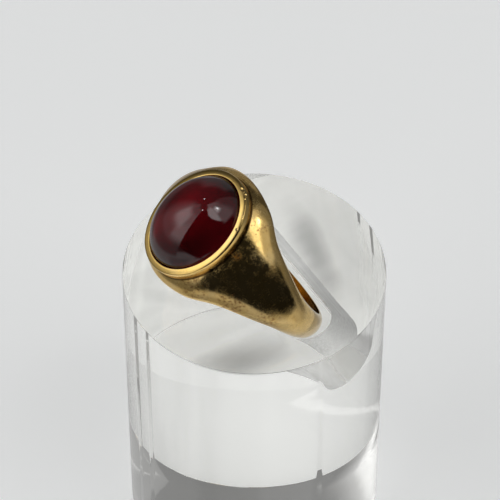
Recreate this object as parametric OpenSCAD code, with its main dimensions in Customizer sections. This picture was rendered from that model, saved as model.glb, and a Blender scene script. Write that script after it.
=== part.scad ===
// Gold ring with an oval cabochon in a plain bezel, leaning in the slot of a clear cylindrical stand.
// Millimetres. The origin is the centre of the stand's base and +Z is up.
// The slot runs along X. The ring leans towards -Y with its stone on top.

/* [Shank] */
// Diameter of the finger hole
bore_d = 19.8; // [19.4:0.1:19.9]
// Fullness of the shank's crown, where 2 is a half ellipse and more is squarer
crown_power = 1.9; // [1.7:0.1:2.6]
// Height of the square side edge above the finger hole
edge_h = 0.25; // [0.15:0.05:0.4]

/* [Bezel] */
// Height of the bezel's base above the ring's centre
seat_n = 11.5; // [11.4:0.1:11.7]
// Height of the bezel wall above its base
bezel_h = 1.3; // [1.2:0.05:1.4]
// Thickness of the bezel wall
bezel_t = 0.48; // [0.44:0.02:0.7]
// How far the bezel wall leans in towards its lip
bezel_lean = 0.15; // [0.05:0.05:0.2]

/* [Stone] */
// Length of the stone along the finger
stone_l = 12; // [11.6:0.1:12.2]
// Width of the stone across the finger
stone_w = 9.7; // [9.4:0.1:10]
// Height of the whole stone
stone_h = 5; // [4.6:0.1:5.5]
// Clearance between the stone and its bezel
stone_gap = 0.05; // [0.03:0.01:0.08]

/* [Stand] */
// Diameter of the stand
stand_d = 30; // [28:0.5:32]
// Height of the stand
stand_h = 40; // [36:1:60]
// Length of the slot over its round ends
slot_l = 23.4; // [23.4:0.1:24.6]
// Width of the slot, square to its walls
slot_w = 5.95; // [5.9:0.05:6.4]
// Depth of the slot down its walls
slot_depth = 9.3; // [8:0.1:10]
// Place of the slot's middle across the top face
slot_y = 0.92; // [0.9:0.02:1]
// Tilt of the slot's walls from upright
slot_tilt = 24; // [23.5:0.5:25]

/* [Pose] */
// Lean of the ring from upright
ring_lean = 32.7; // [32.5:0.1:33]
// Place of the ring's centre across the stand
ring_y = -0.88; // [-0.9:0.02:-0.84]
// Height of the ring's centre above the stand's top face
ring_z = 2.32; // [2.32:0.02:2.6]

/* [Hidden] */

bore_r = bore_d / 2;
band_steps = 120;
crown_steps = 18;
oval_steps = 96;
// the band's closed section starts inside the finger hole, which is then bored true
core_r = bore_r - 0.5;

// the shank, by angle from the stone
ANGLE = 0;
WIDTH = 1;
RISE = 2;
BAND = [
    //  angle, width, rise of the crown above the hole
    [0, 14.9, 2.7],
    [22, 13.1, 2.65],
    [40, 9.2, 2.38],
    [60, 6.5, 2.06],
    [80, 4.7, 1.87],
    [105, 3.7, 1.43],
    [135, 3.3, 1.2],
    [180, 3.2, 1.1],
];

// the bezel's wall, outside then inside, as height above its base and growth beyond the stone
HEIGHT = 0;
GROW = 1;
bezel_foot = bezel_t + bezel_lean;
lip_grow = -0.1;
lip_round = 0.22;
wall_top = bezel_h - lip_round;
BEZEL_OUT = [
    [-1.0, bezel_foot],
    [0.15, bezel_foot],
    [wall_top * 0.6, bezel_foot - bezel_lean * 0.55],
    [wall_top, bezel_foot - bezel_lean],
    [bezel_h - lip_round * 0.3, bezel_foot - bezel_lean - lip_round * 0.3],
    [bezel_h, bezel_foot - bezel_lean - lip_round],
];
pocket_floor = -0.3;
BEZEL_IN = [
    [pocket_floor, stone_gap],
    [0.4, stone_gap],
    [bezel_h - 0.1, lip_grow + stone_gap],
    [bezel_h + 0.1, lip_grow + stone_gap + 0.05],
];

// the stone, as height above its back and share of its full outline
girdle_h = 0.55;
dome_h = stone_h - girdle_h;
dome_rows = 13;
stone_back = seat_n + pocket_floor + stone_gap;

// smooth value of one column of the band's table at an angle
function band_row(a, i = 0) = a <= BAND[i + 1][ANGLE] || i == len(BAND) - 2 ? i : band_row(a, i + 1);
function slope(i, col) =
    i == 0 || i == len(BAND) - 1
        ? 0
        : (BAND[i + 1][col] - BAND[i - 1][col]) / (BAND[i + 1][ANGLE] - BAND[i - 1][ANGLE]);
function band_at(a, col) =
    let (i = band_row(a), span = BAND[i + 1][ANGLE] - BAND[i][ANGLE], u = (a - BAND[i][ANGLE]) / span)
        BAND[i][col] * (2 * u ^ 3 - 3 * u ^ 2 + 1) + BAND[i + 1][col] * (3 * u ^ 2 - 2 * u ^ 3)
            + span * (slope(i, col) * (u ^ 3 - 2 * u ^ 2 + u) + slope(i + 1, col) * (u ^ 3 - u ^ 2));

// radius of the crown across the shank, where k runs from -1 to 1, kept under the bezel's flat seat
function crown_r(a, k) =
    let (
        edge = bore_r + edge_h,
        full = edge + (band_at(a, RISE) - edge_h) * max(0, 1 - abs(k) ^ crown_power) ^ (1 / crown_power)
    )
        cos(a) > 0.1 ? min(full, seat_n / cos(a)) : full;

// one closed section of the shank, as [place along the finger, radius]
function section(a) =
    let (h = band_at(a, WIDTH) / 2)
        concat(
            [[-h, core_r]],
            [for (j = [0:crown_steps]) let (k = -cos(180 * j / crown_steps)) [h * k, crown_r(a, k)]],
            [[h, core_r]]
        );

// skin of closed rings of points, each of n points, joined in order
function skin(rings, n, closed) =
    let (m = len(rings))
        concat(
            [
                for (i = [0:(closed ? m - 1 : m - 2)], j = [0:n - 1], half = [0, 1])
                    let (
                        here = i * n,
                        next = ((i + 1) % m) * n,
                        k = (j + 1) % n
                    )
                        half == 0 ? [here + j, here + k, next + k] : [here + j, next + k, next + j]
            ],
            closed ? [] : [[for (j = [n - 1:-1:0]) j]],
            closed ? [] : [[for (j = [0:n - 1]) (m - 1) * n + j]]
        );
function flat(rings) = [for (ring = rings, p = ring) p];

// solid between ovals, each given as [height, half length along the finger, half width across]
module oval_loft(rows) {
    rings = [
        for (row = rows)
            [
                for (j = [0:oval_steps - 1])
                    let (t = 360 * j / oval_steps) [row[2] * cos(t), -row[1] * sin(t), row[0]]
            ]
    ];
    polyhedron(flat(rings), skin(rings, oval_steps, false), convexity = 4);
}

// the stone's outline grown by each row of a bezel table
function grown(table) =
    [for (row = table) [seat_n + row[HEIGHT], stone_l / 2 + row[GROW], stone_w / 2 + row[GROW]]];

// the tapering shank with its broad shoulders, closed round the finger
module shank() {
    rings = [
        for (i = [0:band_steps - 1])
            let (t = 360 * i / band_steps, a = t > 180 ? 360 - t : t)
                [for (p = section(a)) [p[1] * sin(t), p[0], p[1] * cos(t)]]
    ];
    polyhedron(flat(rings), skin(rings, crown_steps + 3, true), convexity = 6);
}

// puts a piece drawn about the ring's own centre where the ring leans in the stand
module leaning() {
    translate([0, ring_y, stand_h + ring_z]) rotate([ring_lean, 0, 0]) children();
}

module gold_ring() {
    color("goldenrod") leaning() difference() {
        union() {
            shank();
            oval_loft(grown(BEZEL_OUT));
        }
        oval_loft(grown(BEZEL_IN));
        rotate([90, 0, 0]) cylinder(r = bore_r, h = 20, center = true, $fn = 180);
    }
}

module cabochon() {
    girdle = [[0, 0.965], [0.2, 1], [girdle_h, 1]];
    dome = [for (i = [1:dome_rows]) let (t = 88 * i / dome_rows) [girdle_h + dome_h * sin(t), cos(t)]];
    color("maroon") leaning() oval_loft([
        for (row = concat(girdle, dome)) [stone_back + row[0], stone_l / 2 * row[1], stone_w / 2 * row[1]]
    ]);
}

module display_stand() {
    color("gainsboro", 0.5) difference() {
        cylinder(d = stand_d, h = stand_h, $fn = 180);
        translate([0, slot_y, stand_h]) rotate([slot_tilt, 0, 0]) hull() for (side = [-1, 1])
            translate([side * (slot_l - slot_w) / 2, 0, -slot_depth])
                cylinder(d = slot_w, h = slot_depth + slot_w, $fn = 72);
    }
}

gold_ring();
cabochon();
display_stand();
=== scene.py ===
"""Worn gold ring with a garnet cabochon, leaning in the slot of a clear stand.

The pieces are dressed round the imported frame.
"""

import math

import bmesh
import bpy
from mathutils import Matrix, Vector


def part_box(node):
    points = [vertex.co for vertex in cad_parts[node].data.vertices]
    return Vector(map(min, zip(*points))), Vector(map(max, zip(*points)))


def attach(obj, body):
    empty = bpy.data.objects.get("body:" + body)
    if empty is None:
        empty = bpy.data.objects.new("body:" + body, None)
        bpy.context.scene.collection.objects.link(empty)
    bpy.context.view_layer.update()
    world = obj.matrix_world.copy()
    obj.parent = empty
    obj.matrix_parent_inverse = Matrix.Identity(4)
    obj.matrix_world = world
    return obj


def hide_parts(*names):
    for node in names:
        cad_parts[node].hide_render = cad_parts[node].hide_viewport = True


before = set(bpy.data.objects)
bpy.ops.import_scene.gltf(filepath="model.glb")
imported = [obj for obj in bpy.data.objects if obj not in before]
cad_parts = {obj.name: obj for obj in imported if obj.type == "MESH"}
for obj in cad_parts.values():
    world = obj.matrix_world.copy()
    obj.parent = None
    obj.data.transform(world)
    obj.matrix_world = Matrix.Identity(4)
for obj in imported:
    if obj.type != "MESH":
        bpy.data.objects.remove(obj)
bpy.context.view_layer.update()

bl_info = {
    "name": "Cabochon ring on its stand",
    "version": (1, 0, 0),
    "blender": (4, 5, 0),
    "location": "3D View > Sidebar > Cabochon ring",
    "description": "Builds the gold ring, its garnet, the clear stand and the studio round the packed frame",
    "category": "Add Mesh",
}

MM = 0.001

# The ring's own frame: X across the finger, Y along it, Z towards the stone,
# from the middle of the finger hole.
RING_LEAN = math.radians(32.7)
RING_CENTRE = Vector((0, -0.88, 42.32)) * MM
RING_POSE = Matrix.Translation(RING_CENTRE) @ Matrix.Rotation(RING_LEAN, 4, "X")

# The shank by angle from the stone, in degrees, with its width and its rise above the finger hole in mm.
BAND = (
    (0, 14.9, 2.7),
    (22, 13.35, 2.68),
    (40, 9.6, 2.42),
    (60, 6.8, 2.08),
    (80, 4.7, 1.87),
    (105, 3.7, 1.43),
    (135, 3.3, 1.2),
    (180, 3.2, 1.1),
)
EDGE_SHARE = 0.09  # share of the rise that is the square side edge

BAND_STEPS = 144
SECTION_POINTS = 64
BEZEL_POINTS = 192
STONE_POINTS, STONE_ROWS = 160, 80
STAND_POINTS = 256
SLOT_POINTS = 74  # not a multiple of four, so that the slot's long walls stay flat

# The bezel's wall from its foot, over its lip and down to its floor:
# height above the seat and growth beyond the stone, in mm.
BEZEL = (
    (-1.0, 0.7),
    (-0.2, 0.7),
    (0.1, 0.7),
    (0.2, 0.7),
    (0.9, 0.7),
    (1.05, 0.69),
    (1.13, 0.655),
    (1.18, 0.58),
    (1.225, 0.42),
    (1.26, 0.22),
    (1.28, 0.08),
    (1.28, 0.02),
    (1.26, -0.02),
    (1.2, -0.05),
    (0.8, 0.0),
    (0.4, 0.05),
    (-0.3, 0.05),
)

BELT = 0.35 * MM  # height of the stone's upright belt, below its dome
BACK_SHARE = 0.965  # outline of the stone's back as a share of its girdle's
BACK_DROP = 0.25 * MM  # how far the stone's back lies below the bezel's seat


class RingSizes(bpy.types.PropertyGroup):
    """Sizes of the ring and its stone"""

    bore: bpy.props.FloatProperty(
        name="Finger hole", description="Diameter of the finger hole", default=19.8 * MM, unit="LENGTH"
    )
    crown: bpy.props.FloatProperty(
        name="Crown", description="Fullness of the shank's crown, where 2 is half an ellipse", default=1.9
    )
    seat: bpy.props.FloatProperty(
        name="Seat",
        description="Height of the bezel's base above the ring's centre",
        default=11.5 * MM,
        unit="LENGTH",
    )
    stone_length: bpy.props.FloatProperty(
        name="Stone length",
        description="Length of the stone along the finger",
        default=12.0 * MM,
        unit="LENGTH",
    )
    stone_width: bpy.props.FloatProperty(
        name="Stone width",
        description="Width of the stone across the finger",
        default=9.7 * MM,
        unit="LENGTH",
    )
    stone_dome: bpy.props.FloatProperty(
        name="Dome",
        description="Height of the stone's dome above its girdle",
        default=4.45 * MM,
        unit="LENGTH",
    )
    girdle: bpy.props.FloatProperty(
        name="Girdle",
        description="Height of the stone's girdle above its back",
        default=0.55 * MM,
        unit="LENGTH",
    )


class StandSizes(bpy.types.PropertyGroup):
    """Sizes of the stand's slot and edges"""

    slot_length: bpy.props.FloatProperty(
        name="Slot length",
        description="Length of the slot over its round ends",
        default=23.4 * MM,
        unit="LENGTH",
    )
    slot_width: bpy.props.FloatProperty(
        name="Slot width",
        description="Width of the slot, square to its walls",
        default=5.95 * MM,
        unit="LENGTH",
    )
    slot_depth: bpy.props.FloatProperty(
        name="Slot depth", description="Depth of the slot down its walls", default=9.3 * MM, unit="LENGTH"
    )
    slot_place: bpy.props.FloatProperty(
        name="Slot place",
        description="Place of the slot's middle across the top",
        default=0.92 * MM,
        unit="LENGTH",
    )
    slot_tilt: bpy.props.FloatProperty(
        name="Slot tilt",
        description="Tilt of the slot's walls from upright",
        default=math.radians(24),
        unit="ROTATION",
    )
    edge: bpy.props.FloatProperty(
        name="Edge", description="Rounding of the stand's sharp edges", default=0.1 * MM, unit="LENGTH"
    )


class Finishes(bpy.types.PropertyGroup):
    """Colours of the pieces and the floor"""

    gold: bpy.props.FloatVectorProperty(
        name="Gold",
        description="Colour of the clean gold",
        default=(0.84, 0.57, 0.2),
        size=3,
        subtype="COLOR",
    )
    tarnish: bpy.props.FloatVectorProperty(
        name="Tarnish",
        description="Colour of the tarnish on the gold",
        default=(0.3, 0.13, 0.035),
        size=3,
        subtype="COLOR",
    )
    garnet: bpy.props.FloatVectorProperty(
        name="Garnet",
        description="Colour of the stone",
        default=(0.115, 0.001, 0.027),
        size=3,
        subtype="COLOR",
    )
    acrylic: bpy.props.FloatVectorProperty(
        name="Acrylic",
        description="Colour of the clear stand",
        default=(0.98, 0.98, 0.955),
        size=3,
        subtype="COLOR",
    )
    floor: bpy.props.FloatVectorProperty(
        name="Floor", description="Colour of the floor", default=(0.86, 0.87, 0.87), size=3, subtype="COLOR"
    )


def sizes(context, group):
    """The property group of that name on the scene."""
    return getattr(context.scene, "cabochon_" + group)


# Modelling helpers


def begin(make, **settings):
    """Deselects everything, adds a primitive and opens it in edit mode."""
    if bpy.context.object and bpy.context.object.mode == "EDIT":
        bpy.ops.object.mode_set(mode="OBJECT")
    bpy.ops.object.select_all(action="DESELECT")
    make(**settings)
    bpy.ops.object.mode_set(mode="EDIT")
    return bpy.context.object


def select(kind, test):
    """Selects the vertices, edges or faces of the piece in edit mode that pass the test."""
    bpy.ops.mesh.select_mode(type=kind)
    bpy.ops.mesh.select_all(action="DESELECT")
    piece = bmesh.from_edit_mesh(bpy.context.object.data)
    parts = {"VERT": piece.verts, "EDGE": piece.edges, "FACE": piece.faces}[kind]
    for part in parts:
        if test(part):
            part.select_set(True)
    piece.select_flush_mode()
    bmesh.update_edit_mesh(bpy.context.object.data)


def scale(x, y, z, centre, axes=Matrix.Identity(3)):
    """Scales what is selected about a centre, along the given axes."""
    bpy.ops.transform.resize(
        value=(x, y, z),
        center_override=centre,
        orient_type="GLOBAL",
        orient_matrix=axes,
        orient_matrix_type="GLOBAL",
    )


def turn(angle, axis):
    """Turns what is selected by the right-hand rule. Without a window the operator turns the other way."""
    bpy.ops.transform.rotate(value=-angle, orient_axis=axis, orient_type="GLOBAL", center_override=(0, 0, 0))


def extrude():
    """Extrudes what is selected, without moving it yet."""
    bpy.ops.mesh.extrude_region_move(TRANSFORM_OT_translate={"value": (0, 0, 0)})


def close_up():
    """Merges what lies on top of itself, turns the faces outwards and leaves edit mode."""
    bpy.ops.mesh.select_all(action="SELECT")
    bpy.ops.mesh.remove_doubles(threshold=1e-6)
    bpy.ops.mesh.normals_make_consistent(inside=False)
    bpy.ops.object.mode_set(mode="OBJECT")


def apply_modifier(piece, kind, **settings):
    """Adds a modifier to a piece, sets it and applies it."""
    bpy.ops.object.select_all(action="DESELECT")
    bpy.context.view_layer.objects.active = piece
    piece.select_set(True)
    modifier = piece.modifiers.new(kind.lower(), kind)
    for key, value in settings.items():
        setattr(modifier, key, value)
    bpy.ops.object.modifier_apply(modifier=modifier.name)


def join_solid(piece, tool, operation):
    """Unites a piece with a tool, or cuts the tool from it, and removes the tool."""
    apply_modifier(piece, "BOOLEAN", object=tool, operation=operation, solver="EXACT")
    bpy.data.objects.remove(tool)


def settle(piece, pose, smooth_to):
    """Puts a piece where it belongs, with its place in its mesh, and shades it smooth up to an angle."""
    bpy.ops.object.select_all(action="DESELECT")
    bpy.context.view_layer.objects.active = piece
    piece.select_set(True)
    piece.matrix_world = pose
    bpy.ops.object.transform_apply(location=True, rotation=True, scale=True)
    bpy.ops.object.shade_smooth_by_angle(angle=math.radians(smooth_to))


# The pieces


def band_at(angle, column):
    """Smooth value of one column of the band's table at an angle in degrees."""
    i = max(j for j in range(len(BAND) - 1) if BAND[j][0] <= angle or j == 0)
    low, high = BAND[i], BAND[i + 1]
    span = high[0] - low[0]
    u = (angle - low[0]) / span

    def slope(j):
        if j in (0, len(BAND) - 1):
            return 0
        return (BAND[j + 1][column] - BAND[j - 1][column]) / (BAND[j + 1][0] - BAND[j - 1][0])

    value = low[column] * (2 * u**3 - 3 * u**2 + 1) + high[column] * (3 * u**2 - 2 * u**3)
    return value + span * (slope(i) * (u**3 - 2 * u**2 + u) + slope(i + 1) * (u**3 - u**2))


def shape_section(bore_r, power):
    """Shapes a unit disc in the YZ plane into the shank's widest section, at the top of the ring."""
    half, rise = BAND[0][1] / 2 * MM, BAND[0][2] * MM
    edge = EDGE_SHARE * rise
    select("VERT", lambda v: v.co.z < -1e-4)
    scale(1, 1, 0, (0, 0, 0))
    disc = bmesh.from_edit_mesh(bpy.context.object.data)
    levels = sorted({round(abs(v.co.y), 5) for v in disc.verts if v.co.z > 1e-4})
    for k in levels:
        here = math.sqrt(max(1e-12, 1 - k * k))
        want = max(0.0, 1 - k**power) ** (1 / power)
        select("VERT", lambda v: v.co.z > 1e-4 and abs(abs(v.co.y) - k) < 2e-5)
        scale(1, 1, want / here, (0, 0, 0))
    bpy.ops.mesh.select_all(action="SELECT")
    scale(1, half, rise - edge, (0, 0, 0))
    bpy.ops.transform.translate(value=(0, 0, bore_r))
    select("VERT", lambda v: v.co.z > bore_r + 1e-7 or abs(v.co.y) > half * 0.99999)
    bpy.ops.transform.translate(value=(0, 0, edge))


def build_shank(ring):
    """Extrudes the section round the finger, resizing it at each step by the band's table."""
    bore_r = ring.bore / 2
    piece = begin(
        bpy.ops.mesh.primitive_circle_add,
        vertices=SECTION_POINTS,
        radius=1,
        fill_type="NGON",
        rotation=(0, math.pi / 2, 0),
    )
    bpy.ops.object.mode_set(mode="OBJECT")
    bpy.ops.object.transform_apply(rotation=True)
    bpy.ops.object.mode_set(mode="EDIT")
    shape_section(bore_r, ring.crown)
    bpy.ops.mesh.select_mode(type="FACE")
    bpy.ops.mesh.select_all(action="SELECT")
    step = 360 / BAND_STEPS
    width, rise = BAND[0][1], BAND[0][2]
    for i in range(1, BAND_STEPS + 1):
        angle = i * step
        away = min(angle, 360 - angle)
        extrude()
        turn(math.radians(step), "Y")
        axes = Matrix.Rotation(math.radians(angle), 3, "Y")
        foot = axes @ Vector((0, 0, bore_r))
        scale(1, band_at(away, 1) / width, band_at(away, 2) / rise, foot, axes)
        width, rise = band_at(away, 1), band_at(away, 2)
    select("FACE", lambda f: len(f.verts) > 4)
    bpy.ops.mesh.delete(type="ONLY_FACE")
    close_up()
    apply_modifier(piece, "SUBSURF", levels=1, render_levels=1)
    bpy.ops.object.mode_set(mode="EDIT")
    bpy.ops.mesh.select_all(action="SELECT")
    bpy.ops.mesh.bisect(
        plane_co=(0, 0, ring.seat), plane_no=(0, 0, 1), clear_outer=True, use_fill=True, threshold=1e-7
    )
    bpy.ops.object.mode_set(mode="OBJECT")
    return piece


def build_bezel(ring):
    """Raises the oval bezel wall row by row from its foot, over its lip and down under the stone."""
    half_w, half_l = ring.stone_width / 2, ring.stone_length / 2
    piece = begin(bpy.ops.mesh.primitive_circle_add, vertices=BEZEL_POINTS, radius=1, fill_type="NGON")
    height, grow = BEZEL[0]
    last_w, last_l = half_w + grow * MM, half_l + grow * MM
    bpy.ops.mesh.select_mode(type="FACE")
    bpy.ops.mesh.select_all(action="SELECT")
    scale(last_w, last_l, 1, (0, 0, 0))
    bpy.ops.transform.translate(value=(0, 0, ring.seat + height * MM))
    for next_height, grow in BEZEL[1:]:
        extrude()
        new_w, new_l = half_w + grow * MM, half_l + grow * MM
        bpy.ops.transform.translate(value=(0, 0, (next_height - height) * MM))
        scale(new_w / last_w, new_l / last_l, 1, (0, 0, 0))
        height, last_w, last_l = next_height, new_w, new_l
    close_up()
    return piece


# The small dents of wear in the bezel: middle in the ring's frame and radius, in mm.
NICKS = (
    (1.4, 6.55, 12.95, 0.5),
    (2.1, 6.4, 12.6, 0.44),
    (2.7, 6.05, 13.0, 0.45),
    (3.5, 5.8, 12.5, 0.42),
    (4.75, 3.1, 13.05, 0.4),
)


def cut_nicks(piece):
    """Cuts the dents of wear in the bezel's lip, each with a ball."""
    for x, y, z, radius in NICKS:
        tool = begin(
            bpy.ops.mesh.primitive_ico_sphere_add,
            subdivisions=3,
            radius=radius * MM,
            location=Vector((x, y, z)) * MM,
        )
        close_up()
        join_solid(piece, tool, "DIFFERENCE")


class BuildGoldRing(bpy.types.Operator):
    """Builds the gold shank with its broad shoulders and the plain bezel soldered to it"""

    bl_idname = "cabochon.gold_ring"
    bl_label = "Gold ring"

    def execute(self, context):
        ring = sizes(context, "ring")
        piece = build_shank(ring)
        join_solid(piece, build_bezel(ring), "UNION")
        cut_nicks(piece)
        piece.name = "worn_gold_ring"
        piece.data.materials.clear()
        piece.data.materials.append(gold_material(sizes(context, "finishes"), ring))
        settle(piece, RING_POSE, smooth_to=32)
        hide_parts("gold_ring")
        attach(piece, "root")
        return {"FINISHED"}


class BuildGarnet(bpy.types.Operator):
    """Builds the polished oval garnet with its high dome"""

    bl_idname = "cabochon.garnet"
    bl_label = "Garnet"

    def execute(self, context):
        ring = sizes(context, "ring")
        piece = begin(
            bpy.ops.mesh.primitive_uv_sphere_add, segments=STONE_POINTS, ring_count=STONE_ROWS, radius=1
        )
        bpy.ops.mesh.select_all(action="SELECT")
        bpy.ops.mesh.bisect(plane_co=(0, 0, 0), plane_no=(0, 0, 1), clear_inner=True, threshold=1e-6)
        bpy.ops.mesh.select_all(action="SELECT")
        scale(ring.stone_width / 2, ring.stone_length / 2, ring.stone_dome, (0, 0, 0))
        select("EDGE", lambda e: e.is_boundary)
        for drop, share in ((BELT, 1.0), (ring.girdle - BELT, BACK_SHARE)):
            extrude()
            bpy.ops.transform.translate(value=(0, 0, -drop))
            scale(share, share, 1, (0, 0, 0))
        bpy.ops.mesh.edge_face_add()
        bpy.ops.mesh.select_all(action="SELECT")
        back = ring.seat - BACK_DROP
        bpy.ops.transform.translate(value=(0, 0, back + ring.girdle))
        close_up()
        piece.name = "garnet_cabochon"
        piece.data.materials.clear()
        piece.data.materials.append(garnet_material(sizes(context, "finishes")))
        settle(piece, RING_POSE, smooth_to=40)
        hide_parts("cabochon")
        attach(piece, "root")
        return {"FINISHED"}


class BuildStand(bpy.types.Operator):
    """Builds the clear acrylic stand with its slanted, round-ended, milled slot"""

    bl_idname = "cabochon.stand"
    bl_label = "Clear stand"

    def execute(self, context):
        stand = sizes(context, "stand")
        low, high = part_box("display_stand")
        height, radius = high.z - low.z, (high.x - low.x) / 2
        piece = begin(
            bpy.ops.mesh.primitive_cylinder_add,
            vertices=STAND_POINTS,
            radius=radius,
            depth=height,
            location=(0, 0, height / 2),
        )
        close_up()
        bpy.ops.object.transform_apply(location=True)
        tall = stand.slot_depth + stand.slot_width
        end = (stand.slot_length - stand.slot_width) / 2
        tool = begin(
            bpy.ops.mesh.primitive_cylinder_add,
            vertices=SLOT_POINTS,
            radius=stand.slot_width / 2,
            depth=tall,
            rotation=(0, 0, math.pi / 2),
        )
        bpy.ops.object.mode_set(mode="OBJECT")
        bpy.ops.object.transform_apply(rotation=True)
        bpy.ops.object.mode_set(mode="EDIT")
        for side in (-1, 1):
            select("VERT", lambda v: v.co.x * side > 0)
            bpy.ops.transform.translate(value=(side * end, 0, 0))
        bpy.ops.mesh.select_all(action="SELECT")
        bpy.ops.transform.translate(value=(0, 0, tall / 2 - stand.slot_depth))
        turn(stand.slot_tilt, "X")
        bpy.ops.transform.translate(value=(0, stand.slot_place, height))
        close_up()
        join_solid(piece, tool, "DIFFERENCE")
        apply_modifier(
            piece, "BEVEL", width=stand.edge, segments=3, limit_method="ANGLE", angle_limit=math.radians(40)
        )
        finishes = sizes(context, "finishes")
        piece.data.materials.clear()
        piece.data.materials.append(acrylic_material(finishes))
        piece.data.materials.append(milled_material(finishes))
        bpy.ops.object.mode_set(mode="EDIT")
        across = Vector((0, math.cos(stand.slot_tilt), math.sin(stand.slot_tilt)))
        up = Vector((0, -math.sin(stand.slot_tilt), math.cos(stand.slot_tilt)))
        middle = Vector((0, stand.slot_place, height))
        reach = stand.slot_width / 2 + stand.edge

        def in_slot(face):
            place = face.calc_center_median() - middle
            aside = math.hypot(max(abs(place.x) - end, 0), place.dot(across))
            inside = aside < reach and place.z < -1e-6 and place.dot(up) > -stand.slot_depth - stand.edge
            return inside and (abs(face.normal.dot(up)) < 0.1 or face.normal.dot(up) > 0.99)

        select("FACE", in_slot)
        bpy.context.object.active_material_index = 1
        bpy.ops.object.material_slot_assign()
        bpy.ops.object.mode_set(mode="OBJECT")
        piece.name = "clear_slotted_stand"
        settle(piece, Matrix.Identity(4), smooth_to=15)
        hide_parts("display_stand")
        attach(piece, "root")
        return {"FINISHED"}


# Materials


class Nodes:
    """A node tree to build in.

    A socket given as an input is linked, and anything else is set on the socket itself.
    """

    def __init__(self, tree):
        self.tree = tree

    def put(self, node, inputs):
        for key, value in inputs.items():
            if isinstance(value, bpy.types.NodeSocket):
                self.tree.links.new(value, node.inputs[key])
            else:
                node.inputs[key].default_value = value
        return node

    def add(self, kind, inputs=None, **settings):
        node = self.tree.nodes.new(kind)
        for key, value in settings.items():
            setattr(node, key, value)
        return self.put(node, inputs or {})

    def math(self, operation, a, b=0.0, c=0.0, clamp=False):
        return self.add("ShaderNodeMath", {0: a, 1: b, 2: c}, operation=operation, use_clamp=clamp).outputs[0]

    def ramp(self, value, low, high, start=0.0, end=1.0):
        """Smooth step of a value, from start at low to end at high."""
        inputs = {"Value": value, "From Min": low, "From Max": high, "To Min": start, "To Max": end}
        return self.add("ShaderNodeMapRange", inputs, interpolation_type="SMOOTHSTEP").outputs["Result"]

    def noise(self, place, scale, detail=3.0, roughness=0.55):
        inputs = {"Vector": place, "Scale": scale, "Detail": detail, "Roughness": roughness}
        return self.add("ShaderNodeTexNoise", inputs).outputs["Fac"]

    def mapped(self, place, rotation=(0, 0, 0), stretch=(1, 1, 1), location=(0, 0, 0)):
        inputs = {"Vector": place, "Rotation": rotation, "Scale": stretch, "Location": location}
        return self.add("ShaderNodeMapping", inputs).outputs["Vector"]

    def mix(self, share, a, b):
        """Goes from colour a to colour b by a socket's share. Each colour is a socket or three numbers."""
        node = self.add("ShaderNodeMix", data_type="RGBA")
        self.tree.links.new(share, node.inputs[0])
        for socket, colour in ((node.inputs[6], a), (node.inputs[7], b)):
            if isinstance(colour, bpy.types.NodeSocket):
                self.tree.links.new(colour, socket)
            else:
                socket.default_value = (*colour, 1)
        return node.outputs[2]

    def distance(self, place, point):
        return self.add("ShaderNodeVectorMath", {0: place, 1: point}, operation="DISTANCE").outputs["Value"]

    def bump(self, height, distance, strength, normal=None):
        inputs = {"Height": height, "Distance": distance, "Strength": strength}
        if normal:
            inputs["Normal"] = normal
        return self.add("ShaderNodeBump", inputs).outputs["Normal"]


class Finish(Nodes):
    """A material with its shader."""

    def __init__(self, name):
        self.material = bpy.data.materials.new(name)
        self.material.use_nodes = True
        super().__init__(self.material.node_tree)
        self.shader = self.tree.nodes["Principled BSDF"]

    def object_place(self):
        return self.add("ShaderNodeTexCoord").outputs["Object"]

    def stand_place(self):
        """Place on the stand, in mm."""
        return self.mapped(self.object_place(), stretch=(1 / MM, 1 / MM, 1 / MM))

    def ring_place(self):
        """Place in the ring's own frame, in mm."""
        node = self.add("ShaderNodeMapping", {"Vector": self.object_place()}, vector_type="TEXTURE")
        self.put(node, {"Location": RING_CENTRE, "Rotation": (RING_LEAN, 0, 0), "Scale": (MM, MM, MM)})
        return node.outputs["Vector"]


def scratches(finish, place, turns, density):
    """Fine scratches in a few directions: thin lines of stretched noise, brightest at a line's middle."""
    total = None
    for i, rotation in enumerate(turns):
        long = finish.mapped(place, rotation, (density, 0.35, density), (3.1 * i, 1.7 * i, 0))
        lines = finish.noise(long, 1.0, 1.0, 0.5)
        thin = finish.math("ABSOLUTE", finish.math("SUBTRACT", lines, 0.5))
        line = finish.ramp(thin, 0.0, 0.03, 1.0, 0.0)
        gate = finish.ramp(finish.noise(finish.mapped(place, location=(7 * i, 0, 5)), 0.9, 2.0), 0.5, 0.62)
        line = finish.math("MULTIPLY", line, gate)
        total = line if total is None else finish.math("MAXIMUM", total, line)
    return total


BEZEL_SHEEN = (1.0, 0.67, 0.19)  # painted sheen: the bezel's gold, painted brighter than the rest
# a crust of orange dirt where the gold is most stained
CRUST_COLOUR = (0.42, 0.17, 0.02)
CRUST_PLACE = (5.95, 0.9, 10.9)

# Where the gold is most stained: middle in the ring's frame and size in mm, and how much.
STAINS = (
    (*CRUST_PLACE, 0.9, 1.0),
    (8.6, 2.0, 8.2, 1.7, 0.55),
    (5.0, 4.8, 10.4, 1.4, 0.5),
    (0.0, 6.6, 11.0, 3.2, 0.5),
    (5.0, -5.0, 10.4, 2.6, 0.6),
    (8.2, -3.4, 8.1, 2.6, 0.7),
    (10.6, -2.2, 4.6, 2.6, 0.6),
)


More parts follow.
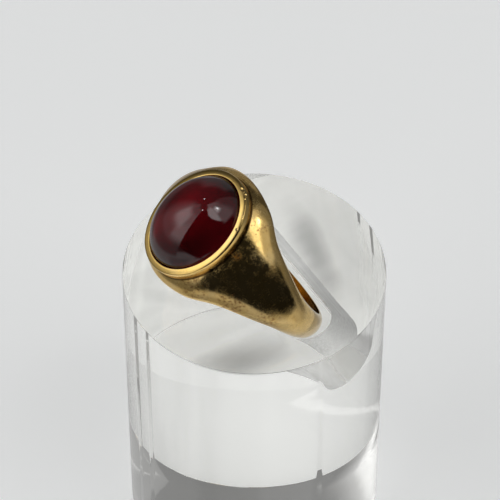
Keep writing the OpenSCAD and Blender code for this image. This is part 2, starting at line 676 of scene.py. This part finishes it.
def gold_material(colours, ring):
    """Worn yellow gold: soft scratches and brown tarnish in spots and patches,
    painted shade in the crease along the bezel's foot and low on the shank, and a painted sheen on the bezel.

    Heights are above the middle of the finger hole, in mm, with the bezel's seat at 11.5.
    """
    f = Finish("worn_gold")
    place = f.ring_place()
    x, y, z = f.add("ShaderNodeSeparateXYZ", {0: place}).outputs[:]
    foot_w = ring.stone_width / 2 / MM + BEZEL[0][1]
    foot_l = ring.stone_length / 2 / MM + BEZEL[0][1]
    # how far a place lies outside the bezel's foot, in mm
    across, along = f.math("DIVIDE", x, foot_w), f.math("DIVIDE", y, foot_l)
    square = f.math("ADD", f.math("MULTIPLY", across, across), f.math("MULTIPLY", along, along))
    reach = f.math("SQRT", square)
    beyond = f.math("MULTIPLY", f.math("SUBTRACT", reach, 1.0), (foot_w + foot_l) / 2)
    # painted shade: a dark line in the crease where the bezel's foot meets the shank
    near_foot = f.ramp(f.math("ABSOLUTE", beyond), 0.02, 0.09, 1.0, 0.0)
    low_down = f.ramp(z, 11.45, 11.7, 1.0, 0.0)
    crease_shade = f.math("MULTIPLY", near_foot, f.math("MULTIPLY", low_down, f.ramp(z, 5, 6)))
    # the pocket under the stone, dull and evenly tarnished
    pocket = f.math("MULTIPLY", f.ramp(z, 9.95, 10.1), f.ramp(z, 12.3, 12.65, 1.0, 0.0))
    pocket = f.math("MULTIPLY", f.ramp(beyond, -0.66, -0.6, 1.0, 0.0), pocket)
    patches = f.ramp(f.noise(place, 0.28, 2.0), 0.42, 0.62)
    stained = f.math("MULTIPLY", patches, 0.15)
    for sx, sy, sz, size, much in STAINS:
        away = f.distance(place, (sx, sy, sz))
        stained = f.math("MAXIMUM", stained, f.ramp(away, size * 0.35, size, much, 0.0))
    fine = f.math("MULTIPLY_ADD", stained, 0.24, f.noise(place, 3.4, 4.0, 0.6))
    broad = f.math("MULTIPLY_ADD", stained, 0.2, f.noise(f.mapped(place, location=(2, 9, 4)), 1.3, 4.0, 0.65))
    dirt = f.math("MAXIMUM", f.ramp(fine, 0.62, 0.8, 0.0, 0.8), f.ramp(broad, 0.62, 0.82, 0.0, 0.4))
    dirt = f.math("MAXIMUM", dirt, pocket)
    warmth = f.noise(f.mapped(place, location=(5, 1, 8)), 0.5, 3.0)
    pale = tuple(min(1, c * k) for c, k in zip(colours.gold, (1.06, 1.12, 1.35)))
    clean = f.mix(f.ramp(warmth, 0.35, 0.7), tuple(colours.gold), pale)
    # painted shade: the gold is darkened below the shoulders
    clean = f.mix(f.ramp(z, 3.0, 8.0, 0.26, 0.0), clean, (0, 0, 0))  # duller below the shoulders
    colour = f.mix(dirt, clean, tuple(colours.tarnish))
    # the bezel: smoother, and with a painted sheen in its colour, but for its dents
    bezel = f.math("MULTIPLY", f.ramp(beyond, 0.04, 0.1, 1.0, 0.0), f.ramp(z, 11.6, 11.75))
    bezel = f.math("MULTIPLY", bezel, f.ramp(beyond, -0.68, -0.62))
    for nx, ny, nz, size in NICKS:
        away = f.distance(place, (nx, ny, nz))
        bezel = f.math("MULTIPLY", bezel, f.ramp(away, size * 0.95, size * 1.25))
    uneven = f.noise(f.mapped(place, location=(3, 3, 7)), 1.6, 4.0, 0.6)
    # painted sheen: the bezel's colour turns brighter gold
    colour = f.mix(f.math("MULTIPLY", bezel, f.ramp(uneven, 0.35, 0.65, 0.7, 0.3)), colour, BEZEL_SHEEN)
    # painted shade in the crease along the bezel's foot, coloured deep tarnish brown
    colour = f.mix(f.math("MULTIPLY", crease_shade, 0.8), colour, tuple(c * 0.3 for c in colours.tarnish))
    lines = scratches(f, place, ((0.2, 0.1, 0.5), (0.4, 0.9, -0.6), (1.2, 0.3, 1.9), (0.1, 1.4, 0.2)), 11)
    haze = f.noise(f.mapped(place, location=(1, 6, 2)), 1.1, 5.0, 0.7)
    gloss = f.math("MULTIPLY_ADD", f.ramp(haze, 0.4, 0.75), 0.12, 0.08)
    gloss = f.math("ADD", gloss, f.math("MULTIPLY", dirt, 0.16))
    gloss = f.math("ADD", gloss, f.math("MULTIPLY", lines, 0.2), clamp=True)
    gloss = f.math("MULTIPLY", gloss, f.math("MULTIPLY_ADD", bezel, -0.4, 1.0))
    gloss = f.math("MAXIMUM", gloss, f.math("MULTIPLY", pocket, 0.4))
    waves = f.noise(place, 0.45, 2.0, 0.4)
    pits = f.noise(place, 7.0, 3.0, 0.6)
    specks = f.ramp(f.noise(place, 6.0, 3.0, 0.7), 0.48, 0.6)
    crust = f.math("MULTIPLY", f.ramp(f.distance(place, CRUST_PLACE), 0.3, 0.8, 1.0, 0.0), specks)
    colour = f.mix(crust, colour, CRUST_COLOUR)
    relief = f.math("MULTIPLY_ADD", pocket, -0.5, 0.5)
    normal = f.bump(waves, 0.04 * MM, relief)
    normal = f.bump(f.math("SUBTRACT", pits, f.math("MULTIPLY", lines, 0.35)), 0.005 * MM, relief, normal)
    metallic = f.math("MULTIPLY_ADD", crust, -0.7, 1.0)
    f.put(f.shader, {"Base Color": colour, "Roughness": gloss, "Normal": normal, "Metallic": metallic})
    return f.material


GARNET_IOR = 1.76


def garnet_material(colours):
    """Deep red garnet, clear and highly polished, with a painted glow: cloudily paler towards one side."""
    f = Finish("deep_garnet")
    place = f.ring_place()
    x, y, _ = f.add("ShaderNodeSeparateXYZ", {0: place}).outputs[:]
    # painted glow: the colour turns paler towards -X and -Y in the ring's frame, in clouds, where light
    # focused by the dome would glow
    aside = f.math("MULTIPLY_ADD", y, -0.35, f.math("MULTIPLY", x, -0.9))
    cloud = f.math("MULTIPLY_ADD", f.noise(place, 0.35, 3.0), 4.0, aside)
    colour = f.mix(f.ramp(cloud, -0.5, 5.0), tuple(colours.garnet), tuple(c * 6.5 for c in colours.garnet))
    rub = f.noise(place, 2.0, 3.0)
    f.put(
        f.shader,
        {
            "Base Color": colour,
            "Roughness": f.ramp(rub, 0.4, 0.75, 0.015, 0.05),
            "IOR": GARNET_IOR,
            "Specular IOR Level": 0.42,
            "Transmission Weight": 1.0,
        },
    )
    return f.material


ACRYLIC_GLOW = 0.05  # painted light: how much the acrylic glows at its sides
TOP_SHARE, SLOT_SHARE = 1 / 3, 1 / 5  # how much of that glow its top and its slot give

ACRYLIC_IOR = 1.49
TOP_FACE = 40  # height of the stand in mm
TOP_EDGE = (39.5, 39.95)  # where the sides' finish turns to the top's

# Painted shade in soft grey clouds on the stand's top face, standing for dark surroundings seen through it:
# middle and half size along X and Y in mm, turn in degrees and depth.
PAINTED_SHADE_CLOUDS = (
    (10.2, -8.4, 5.6, 2.2, 75, 1.0),
    (1.1, 7.5, 6.5, 1.8, -14, 0.95),
    (2.5, 10.5, 11.0, 4.5, -10, 0.42),
    (6.5, 9.5, 5.0, 1.0, -14, 0.4),
    (-2.0, -10.5, 5.0, 1.0, 40, 0.3),
)


def acrylic_material(colours):
    """Clear polished acrylic with faint rub marks and a painted glow, and painted shade in soft grey clouds
    on top.
    """
    f = Finish("clear_acrylic")
    place = f.stand_place()
    rub = f.noise(place, 0.6, 4.0, 0.6)
    streaks = f.noise(f.mapped(place, (0, 0, 0.5), (0.35, 0.07, 0.02)), 1.0, 2.0, 0.5)
    z = f.add("ShaderNodeSeparateXYZ", {0: place}).outputs[2]
    top = f.ramp(z, *TOP_EDGE)
    # painted shade: soft grey streaks and clouds in the colour, standing for dark surroundings seen through
    # the acrylic
    painted_shade = f.math("MULTIPLY", f.ramp(streaks, 0.4, 0.75), 0.2)
    for x, y, long, wide, angle, depth in PAINTED_SHADE_CLOUDS:
        centred = {"Vector": place, "Location": (x, y, TOP_FACE), "Rotation": (0, 0, math.radians(angle))}
        local = f.add("ShaderNodeMapping", centred, vector_type="TEXTURE").outputs["Vector"]
        spread = f.mapped(local, stretch=(1 / long, 1 / wide, 0))
        away = f.add("ShaderNodeVectorMath", {0: spread}, operation="LENGTH").outputs["Value"]
        away = f.math("MULTIPLY_ADD", f.math("SUBTRACT", streaks, 0.5), 0.9, away)
        cloud = f.math("MULTIPLY", f.ramp(away, 0.0, 2.0, 1.0, 0.0), f.math("MULTIPLY", top, depth))
        painted_shade = f.math("MAXIMUM", painted_shade, cloud)
    colour = f.mix(painted_shade, tuple(colours.acrylic), tuple(c * 0.25 for c in colours.acrylic))
    f.put(
        f.shader,
        {
            "Base Color": colour,
            "Roughness": f.ramp(rub, 0.45, 0.8, 0.0, 0.05),
            "IOR": ACRYLIC_IOR,
            "Transmission Weight": 1.0,
            "Normal": f.bump(f.noise(place, 0.18, 2.0), 0.02 * MM, 0.25),
            # painted light: the acrylic glows a little, less on its top
            "Emission Color": (*colours.acrylic, 1),
            "Emission Strength": f.ramp(z, *TOP_EDGE, ACRYLIC_GLOW, ACRYLIC_GLOW * TOP_SHARE),
        },
    )
    return f.material


def milled_material(colours):
    """The matt milled walls of the slot, with the cutter's lines along them and a painted glow."""
    f = Finish("milled_acrylic")
    place = f.stand_place()
    lines = f.noise(f.mapped(place, stretch=(0.12, 5, 5)), 1.0, 4.0, 0.6)
    grain = f.noise(place, 6.0, 3.0)
    pale = tuple(c * 0.8 for c in colours.acrylic)
    colour = f.mix(f.ramp(grain, 0.1, 0.5), tuple(colours.acrylic), pale)
    f.put(
        f.shader,
        {
            "Base Color": colour,
            "Roughness": f.ramp(lines, 0.3, 0.7, 0.38, 0.6),
            "IOR": ACRYLIC_IOR,
            "Transmission Weight": 1.0,
            "Normal": f.bump(lines, 0.02 * MM, 0.4),
            # painted light: the slot's walls glow a little too
            "Emission Color": (*colours.acrylic, 1),
            "Emission Strength": ACRYLIC_GLOW * SLOT_SHARE,
        },
    )
    return f.material


FLOOR_GLOW = 0.47  # the floor glows a little, so that it stays pale under the stand


def floor_material(colours):
    """Plain pale floor."""
    f = Finish("pale_floor")
    cloud = f.noise(f.object_place(), 6.0, 2.0)
    shade = tuple(c * 0.985 for c in colours.floor)
    colour = f.mix(cloud, tuple(colours.floor), shade)
    f.put(
        f.shader,
        {
            "Base Color": colour,
            "Roughness": 0.7,
            "Emission Color": colour,
            "Emission Strength": FLOOR_GLOW,
        },
    )
    return f.material


# The stage

CAMERA_AZIMUTH = math.radians(58.0)
CAMERA_HEIGHT = math.radians(49.0)
CAMERA_AWAY = 360 * MM
SENSOR = 36
FOCAL_PIXELS, FRAME_PIXELS = 3172, 500
CAMERA_LENS = SENSOR * FOCAL_PIXELS / FRAME_PIXELS
AIM = Vector((0, 0, TOP_FACE)) * MM
AIM_RIGHT, AIM_UP = 0.488 * MM, -2.361 * MM

FLOOR_SIZE = 3
FLOOR_DROP = 0.1 * MM  # keeps the floor clear of the stand's foot

# The small lamps by azimuth and height, in degrees, with one distance, radius and power for both.
SMALL_LAMPS = {"small_lamp_left": (-94, 74), "small_lamp_right": (22, 77)}
LAMP_AWAY, LAMP_RADIUS = 0.5, 0.01
LAMP_POWER = 0.03

ROOM_LIGHT = 0.06
FLOOR_LIGHT = 0.45
# What is seen through a clear piece: low down this share of it is plain light,
# which fades out between these heights, in degrees.
THROUGH_LIGHT, THROUGH_SHARE = 0.66, 0.85
THROUGH_FADE = (24, 40)
# The light round the object: azimuth from -Y towards +X and height above the horizon, in degrees,
# with how soft each side of a zone is, in the order from, to, low, high,
# and how its low and high sides climb with azimuth.
ZONES = (
    # the room's walls and its ceiling
    {"from": 138, "to": 182, "low": -12, "high": 70, "light": 0.19, "soft": (8, 8, 8, 8)},
    {"from": -160, "to": -110, "low": -3, "high": 38, "light": 0.23, "soft": (8, 8, 8, 8)},
    {"from": 84, "to": 165, "low": 66, "high": 95, "light": 0.65, "soft": (20, 15, 8, 4)},
    # what the floor shows
    {"from": -136, "to": -116, "low": -45, "high": -6, "light": 0.42, "soft": (5, 6, 5, 6)},
    {"from": -116, "to": -62, "low": -30, "high": 0, "light": 0.14, "soft": (8, 10, 6, 6)},
    {"from": -66, "to": 20, "low": -22, "high": 2, "light": 0.17, "soft": (8, 2, 6, 4)},
    {"from": -182, "to": -141, "low": -50, "high": 0, "light": 0.09, "soft": (1, 6, 6, 6)},
    {"from": 150, "to": 182, "low": -26, "high": 0, "light": 0.15, "soft": (8, 1, 6, 6)},
    {"from": 2, "to": 48, "low": -62, "high": -28, "light": 0.3, "soft": (8, 8, 6, 6)},
    {"from": -60, "to": 60, "low": -95, "high": -66, "light": 1.0, "soft": (10, 10, 4, 4)},
    {
        "from": 52, "to": 116, "low": -95, "high": -60,
        "light": 0.8, "soft": (8, 5, 4, 4), "climb": (0, 0.62),
    },
    {"from": 114, "to": 135, "low": -60, "high": -14, "light": 0.6, "soft": (4, 5, 6, 4)},
    # the window
    {"from": -64, "to": 19.5, "low": 4, "high": 66, "light": 0.32, "soft": (12, 1.5, 7, 8)},
    {"from": -54, "to": 22, "low": 40, "high": 77, "light": 0.38, "soft": (8, 3, 6, 4)},
    {"from": -50, "to": 19.5, "low": 27, "high": 65, "light": 0.64, "soft": (10, 1.5, 8, 5)},
    {"from": -14, "to": 19.5, "low": 14, "high": 46, "light": 0.85, "soft": (6, 1.5, 8, 8)},
    {"from": -44, "to": -4, "low": 34, "high": 60, "light": 1.35, "soft": (7, 8, 7, 6)},
    # the lamp
    {
        "from": 105, "to": 148, "low": 25, "high": 76,
        "light": 0.56, "soft": (8, 12, 5, 6), "climb": (-0.15, 0),
    },
    {"from": 70, "to": 110, "low": 29, "high": 80, "light": 1.6, "soft": (5, 5, 4, 6)},
    {"from": 112, "to": 134, "low": 56, "high": 72, "light": 2.2, "soft": (5, 4, 5, 4)},
    {"from": 122, "to": 130, "low": 61, "high": 67, "light": 9.0, "soft": (4, 4, 3, 3)},
    # the dark side
    {
        "from": 21, "to": 74, "low": 5, "high": 75,
        "light": 0.012, "soft": (1.5, 5, 4, 3), "climb": (-0.78, 0),
    },
    {
        "from": 62, "to": 114, "low": -32, "high": 77,
        "light": 0.012, "soft": (8, 5, 4, 3), "climb": (0.2, -0.9),
    },
    {
        "from": 98, "to": 140, "low": -22, "high": 25,
        "light": 0.012, "soft": (5, 4, 4, 3), "climb": (0.15, -0.25),
    },
)


def make_world():
    """Lights the scene with soft zones of plain brightness, each laid over those before it."""
    world = bpy.data.worlds.new("soft_studio")
    bpy.context.scene.world = world
    world.use_nodes = True
    f = Nodes(world.node_tree)
    way = f.add("ShaderNodeTexCoord").outputs["Generated"]
    x, y, z = f.add("ShaderNodeSeparateXYZ", {0: way}).outputs[:]
    azimuth = f.math("DEGREES", f.math("ARCTAN2", x, f.math("MULTIPLY", y, -1.0)))
    height = f.math("DEGREES", f.math("ARCSINE", z))

    def zone(spec):
        """How much of a zone shows in each direction."""
        climb = spec.get("climb", (0, 0))
        past = f.math("SUBTRACT", azimuth, float(spec["from"]))
        low = f.math("SUBTRACT", height, f.math("MULTIPLY", past, float(climb[0])))
        high = f.math("SUBTRACT", height, f.math("MULTIPLY", past, float(climb[1])))
        share = 1.0
        sides = {"from": azimuth, "to": azimuth, "low": low, "high": high}
        for (key, value), soft in zip(sides.items(), spec["soft"]):
            start, end = (0.0, 1.0) if key in ("from", "low") else (1.0, 0.0)
            share = f.math("MULTIPLY", f.ramp(value, spec[key] - soft, spec[key] + soft, start, end), share)
        return share

    light = f.mix(f.ramp(height, -14, -4), (FLOOR_LIGHT,) * 3, (ROOM_LIGHT,) * 3)
    for spec in ZONES:
        light = f.mix(zone(spec), light, (spec["light"],) * 3)
    through = f.add("ShaderNodeLightPath").outputs["Is Transmission Ray"]
    through = f.math("MULTIPLY", through, f.ramp(height, *THROUGH_FADE, THROUGH_SHARE, 0.0))
    light = f.mix(through, light, (THROUGH_LIGHT,) * 3)
    background = world.node_tree.nodes["Background"]
    f.put(background, {"Color": light, "Strength": 1.0})


def towards(azimuth, height):
    """Direction at an azimuth from -Y towards +X and a height above the horizon."""
    level = math.cos(height)
    return Vector((math.sin(azimuth) * level, -math.cos(azimuth) * level, math.sin(height)))


def make_lamp(name, azimuth, height):
    """Adds one of the small lamps, in its direction from the stand's top."""
    lamp = bpy.data.lights.new(name, "POINT")
    lamp.energy, lamp.shadow_soft_size = LAMP_POWER, LAMP_RADIUS
    holder = bpy.data.objects.new(name, lamp)
    bpy.context.scene.collection.objects.link(holder)
    holder.location = AIM + LAMP_AWAY * towards(math.radians(azimuth), math.radians(height))


def make_camera():
    """Adds the camera, looking at the stand's top, and makes it the scene's."""
    back = towards(CAMERA_AZIMUTH, CAMERA_HEIGHT)
    right = Vector((math.cos(CAMERA_AZIMUTH), math.sin(CAMERA_AZIMUTH), 0))
    up = back.cross(right)
    data = bpy.data.cameras.new("camera")
    data.sensor_width, data.lens = SENSOR, CAMERA_LENS
    data.clip_start, data.clip_end = 0.01, 50
    camera = bpy.data.objects.new("camera", data)
    bpy.context.scene.collection.objects.link(camera)
    camera.matrix_world = Matrix.Translation(AIM + back * CAMERA_AWAY - right * AIM_RIGHT - up * AIM_UP) @ (
        Matrix((right, up, back)).transposed().to_4x4()
    )
    bpy.context.scene.camera = camera


class BuildStage(bpy.types.Operator):
    """Builds the pale floor, the soft light and the camera"""

    bl_idname = "cabochon.stage"
    bl_label = "Studio"

    def execute(self, context):
        floor = begin(bpy.ops.mesh.primitive_plane_add, size=FLOOR_SIZE, location=(0, 0, -FLOOR_DROP))
        bpy.ops.mesh.select_all(action="SELECT")
        bpy.ops.mesh.subdivide(number_cuts=4)
        bpy.ops.object.mode_set(mode="OBJECT")
        bpy.ops.object.transform_apply(location=True)
        floor.name = "floor"
        floor.data.materials.append(floor_material(sizes(context, "finishes")))
        floor.visible_glossy = False
        make_world()
        for name, (azimuth, height) in SMALL_LAMPS.items():
            make_lamp(name, azimuth, height)
        make_camera()
        context.scene.view_settings.view_transform = "Standard"
        return {"FINISHED"}


class CabochonPanel(bpy.types.Panel):
    """Lists the sizes, the finishes and the steps that build the scene"""

    bl_idname = "VIEW3D_PT_cabochon_ring"
    bl_label = "Cabochon ring"
    bl_space_type = "VIEW_3D"
    bl_region_type = "UI"
    bl_category = "Cabochon ring"

    def draw(self, context):
        for group in GROUPS:
            column = self.layout.column(align=True)
            settings = sizes(context, group)
            for name in settings.__annotations__:
                column.prop(settings, name)
        for operator in OPERATORS:
            self.layout.operator(operator.bl_idname)


GROUPS = {"ring": RingSizes, "stand": StandSizes, "finishes": Finishes}
OPERATORS = (BuildGoldRing, BuildGarnet, BuildStand, BuildStage)


def register():
    for group in (*GROUPS.values(), *OPERATORS, CabochonPanel):
        bpy.utils.register_class(group)
    for name, group in GROUPS.items():
        setattr(bpy.types.Scene, "cabochon_" + name, bpy.props.PointerProperty(type=group))


def unregister():
    for name in GROUPS:
        delattr(bpy.types.Scene, "cabochon_" + name)
    for group in reversed((*GROUPS.values(), *OPERATORS, CabochonPanel)):
        bpy.utils.unregister_class(group)


def main():
    register()
    bpy.ops.cabochon.gold_ring()
    bpy.ops.cabochon.garnet()
    bpy.ops.cabochon.stand()
    bpy.ops.cabochon.stage()


if __name__ == "__main__":
    main()
